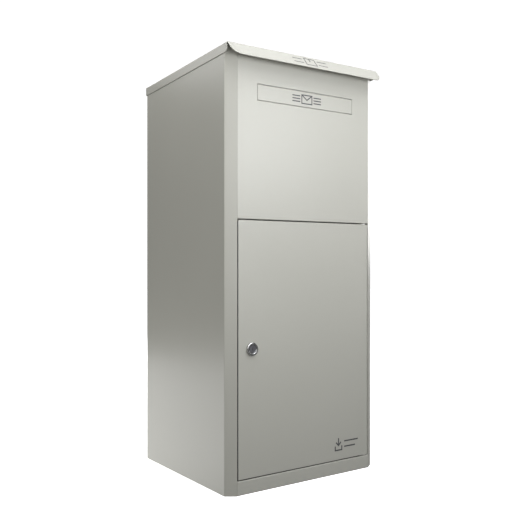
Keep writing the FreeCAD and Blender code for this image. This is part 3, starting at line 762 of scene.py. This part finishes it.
class DROPBOX_OT_lid(bpy.types.Operator):
    """Forms the lid: rounded lip, sloping top, side skirts and rear skirt in one sheet.

    Each point is the path point, plus x sideways, less a drop along the path's normal.
    Over the top the drop follows a quarter circle at each side and then the skirt.
    """

    bl_idname = "dropbox.lid"
    bl_label = "Lid"

    def execute(self, context):
        sheet = context.scene.drop_box.sheet
        t, bend = sheet.gauge, sheet.bend
        lip_low = LID_TOP - LIP_DROP
        skirt_low = float(lid_top(LID_REAR)) - sheet.skirt
        corners = [
            (LIP_FRONT, lip_low),
            (FRONT, LID_TOP),
            (LID_REAR, float(lid_top(LID_REAR))),
            (LID_REAR, skirt_low),
        ]
        base, base_normal = bent_path(corners, [0, 5 * MM, bend, 0])
        steps = np.linalg.norm(np.diff(base, axis=0), axis=1)
        along = np.concatenate([[0.0], np.cumsum(steps)])
        front_fold = slice(1, FOLD_STEPS + 2)
        rear_fold = slice(FOLD_STEPS + 2, 2 * FOLD_STEPS + 3)
        lip_run, rear_start = along[1], along[rear_fold][0]
        slit, near_run, skirt_round = 0.5 * MM, 12 * MM, 10 * MM
        near = along[front_fold][-1] + slit
        stations = np.concatenate([
            lip_run * (1 - np.cos(np.linspace(0, np.pi / 2, 22)))[:-1],
            along[front_fold],
            near + near_run * (1 - np.cos(np.linspace(0, np.pi / 2, 12))),
            np.linspace(near + near_run, rear_start - slit, 16)[1:],
            along[rear_fold],
            np.linspace(along[rear_fold][-1], along[-1], 4)[1:],
        ])
        path = np.stack([np.interp(stations, along, base[:, k]) for k in (0, 1)], 1)
        normal = np.stack([np.interp(stations, along, base_normal[:, k])
                           for k in (0, 1)], 1)
        normal = -normal / np.linalg.norm(normal, axis=1)[:, None]
        over = (stations >= near - 1e-9) & (stations <= rear_start - slit + 1e-9)

        fall = np.linspace(1.0, 0.0, 5)[:-1]
        arc = np.linspace(np.pi / 2, 0.0, 7)
        flat = np.linspace(LID_HALF - bend, 0.0, 9)[1:]
        falls, turns, flats = len(fall), len(arc), len(flat)
        side_kind = np.repeat([2, 1, 0], [falls, turns, flats])
        side_x = np.concatenate([np.full(falls, LID_HALF),
                                 LID_HALF - bend + bend * np.sin(arc), flat])
        side_angle = np.concatenate([np.full(falls, np.pi / 2), arc, np.zeros(flats)])
        side_share = np.concatenate([fall, np.zeros(turns + flats)])
        x = np.concatenate([side_x, -side_x[-2::-1]])
        angle = np.concatenate([side_angle, -side_angle[-2::-1]])
        share, kind = (np.concatenate([half, half[-2::-1]])
                       for half in (side_share, side_kind))

        ahead = np.clip(1 - (stations - near) / skirt_round, 0.0, 1.0)
        skirt = sheet.skirt - skirt_round * (1 - np.sqrt(1 - ahead ** 2))
        drop = bend * (1 - np.cos(angle)) + share * (skirt[:, None] - bend)
        drop = np.where(over[:, None], drop, 0.0)
        lean = np.where(over[:, None], angle, 0.0)
        spread = np.clip(1 - stations / sheet.lip_round, 0.0, 1.0)
        pull = sheet.lip_round * (1 - np.sqrt(1 - spread ** 2))
        flat_x = np.sign(x) * (LID_HALF - bend + bend * np.abs(np.sin(angle)))
        flat_x = np.where(kind == 0, x, flat_x)
        width = np.where(over[:, None], x, flat_x * (LID_HALF - pull[:, None]) / LID_HALF)
        outer = np.stack([
            width,
            path[:, :1] - drop * normal[:, :1],
            path[:, 1:] - drop * normal[:, 1:],
        ], 2)
        out = np.stack([
            np.sin(lean),
            np.cos(lean) * normal[:, :1],
            np.cos(lean) * normal[:, 1:],
        ], 2)
        inner = outer - t * out

        bent = np.minimum(kind[:-1], kind[1:]) > 0
        hanging = np.maximum(kind[:-1], kind[1:]) > 1
        both = over[:-1] & over[1:]
        edge_row = over[:-1] != over[1:]
        keep = np.ones((len(stations) - 1, len(x) - 1), bool)
        keep &= ~(edge_row[:, None] & (bent | hanging))
        keep &= ~(~both[:, None] & hanging)
        piece = Surface()
        piece.shell(outer, inner, keep)
        adopt(piece.build("lid_formed", True, sheet.edge), "paint", "lid_cover")
        return {"FINISHED"}


def ring_path(half_x, half_z, radius, steps=5, per_side=6):
    """Points round a rectangle with rounded corners, the same count for any size.

    Each corner is a quarter circle; each straight side is split evenly.
    """
    points = []
    quarter = np.linspace(0.0, np.pi / 2, steps + 1)
    for k, (sx, sz) in enumerate(((1, 1), (-1, 1), (-1, -1), (1, -1))):
        angle = quarter + k * np.pi / 2
        centre = np.array([sx * (half_x - radius), sz * (half_z - radius)])
        points.append(centre + radius * np.stack([np.cos(angle), np.sin(angle)], 1))
    around = []
    for k in range(4):
        start, end = points[k][-1], points[(k + 1) % 4][0]
        share = np.linspace(0.0, 1.0, per_side + 1)[1:-1, None]
        around += [points[k], start + (end - start) * share]
    return np.concatenate(around)


def pan(low, high, front, depth, gauge, bend, corner=1.2 * MM, margin=6 * MM):
    """Closed surface of a shallow pan: face, bent edge, flange, and the same inside.

    A profile of (inset, depth) is carried round the rectangle; the two flat faces are
    closed by single polygons.
    """
    centre = (np.array(low) + np.array(high)) / 2
    half = (np.array(high) - np.array(low)) / 2
    arc = np.linspace(0.0, np.pi / 2, 7)
    outer_arc = bend - bend * np.stack([np.sin(arc), np.cos(arc)], 1)
    small = max(bend - gauge, 0.2 * MM)
    shift = gauge + small
    inner_arc = shift - small * np.stack([np.sin(arc), np.cos(arc)], 1)[::-1]
    profile = np.concatenate([[[bend + margin, 0.0]], outer_arc, [[0.0, depth]],
                              [[gauge, depth]], inner_arc, [[shift + margin, gauge]]])
    rings = []
    for inset, back in profile:
        radius = max(corner - inset, 0.3 * MM)
        loop = ring_path(half[0] - inset, half[1] - inset, radius)
        rings.append(np.stack([loop[:, 0] + centre[0], np.full(len(loop), front + back),
                               loop[:, 1] + centre[1]], 1))
    surface = Surface()
    numbers = surface.take(np.array(rings))
    after = np.roll(numbers, -1, 1)
    surface.quads(numbers[:-1], numbers[1:], after[1:], after[:-1])
    surface.polygon(numbers[0])
    surface.polygon(numbers[-1][::-1])
    return surface


def foam_strip(across, up, back, thick=3 * MM):
    """Self-adhesive foam strip: a crowned closed bar against the plane y = back.

    The section over the narrow way is a superellipse of power 4 cut at its base, and
    it is carried along the long way with flat ends.
    """
    tall = up[1] - up[0] > across[1] - across[0]
    wide, run = (across, up) if tall else (up, across)
    middle_w, half_w = (wide[0] + wide[1]) / 2, (wide[1] - wide[0]) / 2
    angle = np.linspace(0.0, np.pi, 15)
    spread = np.sign(np.cos(angle)) * np.abs(np.cos(angle)) ** 0.5
    crown = np.abs(np.sin(angle)) ** 0.5
    stations = refined(run, 0.03)
    grid = np.empty((len(stations), len(angle), 3))
    narrow, long_way = (0, 2) if tall else (2, 0)
    grid[..., narrow] = middle_w + half_w * spread
    grid[..., long_way] = stations[:, None]
    grid[..., 1] = back - thick * crown
    base = grid.copy()
    base[..., 1] = back
    surface = Surface()
    surface.shell(grid, base)
    return surface


def painted_shade_band(corners, radii, front, back, thick):
    """Thin crowned band laid on a folded edge, made dark so that it paints the shade of a
    gap.

    The line runs in x and z; the band stands out from it by thick * (1 - s**4), where
    s goes from -1 at the front to 1 at the back.
    """
    line, normals = bent_path(corners, radii)
    share = np.linspace(-1.0, 1.0, 15)
    grid = np.empty((len(share), len(line), 3))
    grid[..., 0] = line[:, 0]
    grid[..., 1] = ((front + back) / 2 + share * (back - front) / 2)[:, None]
    grid[..., 2] = line[:, 1]
    raised = grid.copy()
    height = thick * (1.0 - share ** 4)[:, None] + 0.05 * MM
    raised[..., 0] += normals[:, 0] * height
    raised[..., 2] += normals[:, 1] * height
    surface = Surface()
    surface.shell(raised, grid)
    return surface


class DROPBOX_OT_door(bpy.types.Operator):
    """Makes the door pan, its stiffener, its foam seals, black bands of painted shade on
    the door's edge and the sill, and bushes.
    """

    bl_idname = "dropbox.door"
    bl_label = "Door"

    def execute(self, context):
        sheet = context.scene.drop_box.sheet
        low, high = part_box("door_panel")
        corner = 1.2 * MM
        surface = pan((low.x, low.z), (high.x, high.z), FRONT, high.y - low.y, sheet.gauge,
                      sheet.pan_bend, corner)
        panel = surface.build("door_pan", True, sheet.edge)
        adopt(panel, "paint", "door_panel")
        stop = lowest("left_side_panel").y + sheet.leaf
        stop_front = stop - STOP_STEP
        beside = (STOP_IN + 1.5 * MM, JAMB - 0.5 * MM)
        between = (-STOP_IN, STOP_IN - 6 * MM)
        for name, x, z, y in (
            ("seal_left", (-beside[1], -beside[0]), (SILL_TOP, HEAD), stop),
            ("seal_right", beside, (SILL_TOP, HEAD), stop),
            ("seal_head", between, (HEAD - 13 * MM, HEAD - 1.6 * MM), stop_front),
            ("seal_sill", between, (SILL_TOP + 1.6 * MM, SILL_TOP + 12 * MM), stop_front),
        ):
            seal = foam_strip(x, z, y).build(name, True)
            adopt(seal, "rubber", body="cabinet", slot="rubber")
        pin_room = 24 * MM
        turn_x = high.x - pin_room
        # A black rubber band on the door's edge: a dark sheet that paints the shade of the
        # gap round the door.
        band = painted_shade_band([(turn_x, high.z), (low.x, high.z), (low.x, low.z),
                          (turn_x, low.z)], [0, corner, corner, 0],
                         FRONT + 1.1 * MM, high.y - 1 * MM, 0.55 * MM)
        adopt(band.build("door_painted_shade_band", True), "rubber", body="door", slot="rubber")
        # A black rubber band on the sill's top face: a dark sheet that paints the shade of
        # the gap under the door.
        band = painted_shade_band([(turn_x, SILL_TOP), (-JAMB + 2 * MM, SILL_TOP)], [0, 0],
                         FRONT + 2.4 * MM, FRONT + 19 * MM, 0.8 * MM)
        adopt(band.build("sill_painted_shade_band", True), "rubber", body="cabinet", slot="rubber")
        rounded_copy("door_stiffener", "zinc")
        rounded_copy("door_bush_lower", "nylon")
        rounded_copy("door_bush_upper", "nylon")
        return {"FINISHED"}


class DROPBOX_OT_flap(bpy.types.Operator):
    """Folds the letter flap with its rolled knuckles."""

    bl_idname = "dropbox.flap"
    bl_label = "Letter flap"

    def execute(self, context):
        low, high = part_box("letter_flap")
        pin = middle("flap_pin")
        t = 1.2 * MM
        roll = 2.6 * MM
        bottom = low.z
        corners = [(FRONT + 7 * MM, bottom), (FRONT, bottom), (FRONT, pin[2] + roll),
                   (pin[1], pin[2] + roll)]
        path, normals = bent_path(corners, [0, 1.4 * MM, 1.8 * MM, 0])
        angle = np.linspace(np.pi / 2, -np.pi * 1.05, 26)[1:]
        curl = np.stack([np.cos(angle), np.sin(angle)], 1)
        path = np.concatenate([path, pin[1:] + roll * curl])
        normals = np.concatenate([normals, -curl])
        x = refined([low.x, low.x + 2 * MM, -30 * MM, 30 * MM, high.x - 2 * MM, high.x],
                    0.03)
        centre_x = np.abs((x[:-1] + x[1:]) / 2)
        row = np.arange(len(path) - 1)
        rolled = row >= len(path) - 27
        gap = (centre_x < 30 * MM) | (centre_x > high.x - 2 * MM)
        keep = ~(rolled[:, None] & gap)
        piece = Surface()
        outer, inner = lifted(path, x=x), lifted(path + normals * t, x=x)
        piece.shell(outer[:, ::-1], inner[:, ::-1], keep[:, ::-1])
        adopt(piece.build("letter_flap_folded", True, 0.25 * MM), "paint", "letter_flap")
        return {"FINISHED"}


class DROPBOX_OT_lock(bpy.types.Operator):
    """Turns the lock's bezel and barrel, and rounds the plug, nut, cam and screw."""

    bl_idname = "dropbox.lock"
    bl_label = "Cam lock"

    def execute(self, context):
        turns = context.scene.drop_box.turns
        centre = middle("lock_housing")
        centre[1] = FRONT
        arc = np.linspace(0.0, np.pi / 2, 9)
        crown = np.stack([-3.0 - 2.0 * np.sin(arc), 14.0 + 2.0 * np.cos(arc)], 1)
        inward = np.stack([-4.0 - 1.0 * np.cos(arc), 11.6 - 1.2 * np.sin(arc)], 1)
        mouth = [(-3.4, 10.1), (-3.3, 9.4), (-2.6, 9.1)]
        profile = np.concatenate([
            [(0.0, 11.5), (0.0, 15.6), (-0.4, 16.0)],
            crown, inward, mouth,
            [(26.6, 9.05), (26.6, 11.3), (26.4, 11.5)],
        ]) * MM
        profile = np.concatenate([profile, profile[:1]])
        surface = Surface()
        surface.lathe(profile, centre, turns)
        adopt(surface.build("lock_bezel", True), "lock_chrome", "lock_housing")
        rounded_copy("lock_plug", "lock_core", 0.35 * MM, 3)
        rounded_copy("lock_nut", "steel", 0.4 * MM)
        rounded_copy("lock_cam", "steel", 0.3 * MM)
        rounded_copy("cam_screw", "steel", 0.5 * MM, 3)
        return {"FINISHED"}


class DROPBOX_OT_inside(bpy.types.Operator):
    """Rounds the edges of the back, base, chute, tray, links, brackets and hinge."""

    bl_idname = "dropbox.inside"
    bl_label = "Inner parts"

    def execute(self, context):
        done = {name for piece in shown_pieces() for name in piece.get("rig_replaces", [])}
        for name in sorted(NODES):
            if name in done or name == "flap_spring":
                continue
            rounded_copy(name, SLOTS[name])
        return {"FINISHED"}


def strokes(surface, lines, width, raise_by, spot):
    """Flat printed lines a little above a surface.

    Each line from a to b is a bar whose ends run past a and b by half the width; spot
    turns (across, up, proud) into space. Each bar is a few microns prouder than the
    one before, so that no two faces lie in one plane where bars cross.
    """
    for k, line in enumerate(lines):
        lift = k * 0.003 * MM
        start, end = np.array(line, float).reshape(2, 2) * MM
        head = (end - start) / np.linalg.norm(end - start)
        side = np.array([-head[1], head[0]]) * width / 2
        start, end = start - head * width / 2, end + head * width / 2
        flat = np.array([[start - side, start + side], [end - side, end + side]])
        grids = []
        for proud in (raise_by + lift, -0.01 * MM - lift):
            full = np.concatenate([flat, np.full(flat.shape[:2] + (1,), proud)], 2)
            grids.append(spot(full))
        surface.shell(grids[0], grids[1])


def box_lines(w, h):
    """Outline of a rectangle of half sizes w and h, in millimetres."""
    return ((-w, -h, w, -h), (w, -h, w, h), (w, h, -w, h), (-w, h, -w, -h))


# Lines of the signs in millimetres: across, up, across, up.
ENVELOPE = (*box_lines(16, 10.5), (-16, 10.5, 0, -1.5), (0, -1.5, 16, 10.5),
            *((side * 22.5, level, side * 44, level)
              for side in (-1, 1) for level in (-7, 0, 7)))
PARCEL = (*box_lines(16, 12), (0, 2, 0, 12),
          *((side * 25, level, side * 52, level)
            for side in (-1, 1) for level in (-7, 7)))
ARROW = ((-27, 15, -27, -2), (-34, 5, -27, -2), (-27, -2, -20, 5),
         (-38, -5, -38, -14), (-38, -14, -16, -14), (-16, -14, -16, -5),
         (-6, 7, 38, 7), (-6, -7, 28, -7))


def on_face(x, z):
    """Lays (across, up, proud) on the front face about the point x, z."""
    def place(flat):
        return np.stack([flat[..., 0] + x, FRONT - flat[..., 2], flat[..., 1] + z], -1)
    return place


def on_lip(flat):
    """Lays (across, up, proud) on the lid's lip about its middle."""
    run = np.array([LIP_FRONT - FRONT, -LIP_DROP])
    down = run / np.linalg.norm(run)
    away = np.array([down[1], -down[0]])
    lip_middle = np.array([FRONT, LID_TOP]) + run / 2
    place = lip_middle - flat[..., 1:2] * down + flat[..., 2:3] * away
    return np.concatenate([flat[..., :1], place], -1)


class DROPBOX_OT_signs(bpy.types.Operator):
    """Prints the envelope on the flap, the parcel on the lip and the arrow on the door."""

    bl_idname = "dropbox.signs"
    bl_label = "Printed signs"

    def execute(self, context):
        width = context.scene.drop_box.stroke
        on_flap = on_face(0.0, lowest("letter_flap").z + 19 * MM)
        on_door = on_face(highest("door_panel").x - 73 * MM,
                          lowest("door_panel").z + 39 * MM)
        for name, lines, weight, spot, body in (
            ("envelope_sign", ENVELOPE, 1.0, on_flap, "flap"),
            ("parcel_sign", PARCEL, 0.9, on_lip, "lid"),
            ("collect_sign", ARROW, 1.25, on_door, "door"),
        ):
            surface = Surface()
            strokes(surface, lines, width * weight, 0.06 * MM, spot)
            adopt(surface.build(name, True), "ink", body=body, slot="paint")
        return {"FINISHED"}


# Colour of the lamps that face the front, slightly cooler than the others.
COOL = (0.975, 0.985, 1.035)

# Soft boxes: name, place, point aimed at, width, height and power in watts.
LAMPS = (
    ("front_soft", (0.0, -1.05, 1.0), (0.0, -0.2, 0.92), 1.3, 0.4, 6.1),
    ("front_high", (0.0, -1.1, 1.75), (0.0, -0.2, 1.0), 1.2, 0.4, 5.2),
    ("front_low", (0.3, -2.2, 0.6), (0.0, -0.2, 0.35), 1.4, 0.8, 7.0),
    ("right_front", (2.2, -0.9, 0.9), (0.23, -0.2, 0.6), 1.0, 1.2, 8.0),
    ("wide_left", (-2.0, 0.3, 0.9), (-0.23, 0.0, 0.5), 1.2, 1.2, 2.8),
    ("low_left", (-0.72, 0.45, -0.05), (-0.23, 0.15, 0.0), 1.5, 0.5, 4.4),
    ("high_left", (-0.75, 0.1, 1.3), (-0.23, 0.0, 1.0), 1.5, 0.2, 3.0),
    ("facet_strip", (-0.55, -1.15, 0.72), (-0.21, -0.2, 0.5), 0.3, 0.7, 2.9),
    ("overhead", (0.0, -0.6, 1.9), (0.0, -0.2, 1.0), 1.0, 0.5, 13.0),
    ("behind", (1.2, 2.6, 1.6), (0.0, 0.2, 0.5), 1.6, 1.6, 55.0),
    ("right_fill", (2.6, 0.7, 1.3), (0.23, 0.0, 0.5), 1.5, 1.5, 24.0),
)


class DROPBOX_OT_stage(bpy.types.Operator):
    """Lays the floor and sets the surround, the lights and the camera."""

    bl_idname = "dropbox.stage"
    bl_label = "Stage"

    def execute(self, context):
        look = context.scene.drop_box.stage
        mesh = bpy.data.meshes.new("studio_floor")
        half, level = 14.0, -0.2 * MM
        corners = [(-half, -half, level), (half, -half, level), (half, half, level),
                   (-half, half, level)]
        mesh.from_pydata(corners, [], [(0, 1, 2, 3)])
        floor = placed("studio_floor", mesh)
        mesh.materials.append(floor_finish(look))
        for ray in ("diffuse", "glossy", "shadow"):
            setattr(floor, "visible_" + ray, False)
        floor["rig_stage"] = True

        surface = Surface()
        arc = np.linspace(0.0, np.pi, 33)
        radius = 12.0
        dome_profile = np.stack([-radius * np.cos(arc), radius * np.sin(arc)], 1)
        dome_profile[[0, -1], 1] = 0.0
        surface.lathe(dome_profile, np.zeros(3), 64)
        dome = surface.build("white_backdrop")
        dome.data.materials.append(backdrop_finish())
        for ray in ("diffuse", "glossy", "transmission", "volume_scatter", "shadow"):
            setattr(dome, "visible_" + ray, False)
        dome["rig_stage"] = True

        world = bpy.data.worlds.new("white_surround")
        context.scene.world = world
        world.use_nodes = True
        background = world.node_tree.nodes["Background"]
        background.inputs["Color"].default_value = (1.0, 1.0, 1.0, 1.0)
        background.inputs["Strength"].default_value = look.sky

        for name, place, target, width, height, power in LAMPS:
            data = bpy.data.lights.new(name, "AREA")
            data.shape = "RECTANGLE"
            data.size = width
            data.size_y = height
            data.energy = power * look.brightness
            if name.startswith(("front", "overhead")):
                data.color = COOL
            lamp = placed(name, data)
            lamp.location = place
            lamp.visible_camera = False
            direction = Vector(target) - Vector(place)
            lamp.rotation_euler = direction.to_track_quat("-Z", "Y").to_euler()

        data = bpy.data.cameras.new("viewer")
        data.lens = look.lens
        data.sensor_width = 36.0
        data.clip_start = 0.01
        camera = placed("viewer", data)
        camera.location = look.camera_place
        camera.rotation_euler = (math.pi / 2, 0.0, look.camera_turn)
        context.scene.camera = camera
        context.scene.view_settings.view_transform = "Standard"
        return {"FINISHED"}


class DROPBOX_PT_panel(bpy.types.Panel):
    """Lists the settings and the steps in order."""

    bl_idname = "DROPBOX_PT_panel"
    bl_label = "Parcel Drop Box"
    bl_space_type = "VIEW_3D"
    bl_region_type = "UI"
    bl_category = "Drop Box"

    def draw(self, context):
        settings = context.scene.drop_box
        for group in (settings.sheet, settings.paint, settings.stage):
            for name in group.bl_rna.properties.keys():
                if name not in ("rna_type", "name"):
                    self.layout.prop(group, name)
        self.layout.prop(settings, "stroke")
        self.layout.prop(settings, "turns")
        for step in STEPS:
            self.layout.operator(step.bl_idname)


STEPS = (
    DROPBOX_OT_finishes,
    DROPBOX_OT_sides,
    DROPBOX_OT_front,
    DROPBOX_OT_lid,
    DROPBOX_OT_door,
    DROPBOX_OT_flap,
    DROPBOX_OT_lock,
    DROPBOX_OT_inside,
    DROPBOX_OT_signs,
    DROPBOX_OT_stage,
)
GROUPS = (SheetSizes, PaintLook, StageLook, BoxSettings)


def register():
    for item in GROUPS + STEPS + (DROPBOX_PT_panel,):
        bpy.utils.register_class(item)
    bpy.types.Scene.drop_box = PointerProperty(type=BoxSettings)


def unregister():
    del bpy.types.Scene.drop_box
    for item in reversed(GROUPS + STEPS + (DROPBOX_PT_panel,)):
        bpy.utils.unregister_class(item)


def main():
    register()
    for step in STEPS:
        group, name = step.bl_idname.split(".")
        getattr(getattr(bpy.ops, group), name)()


if __name__ == "__main__":
    main()
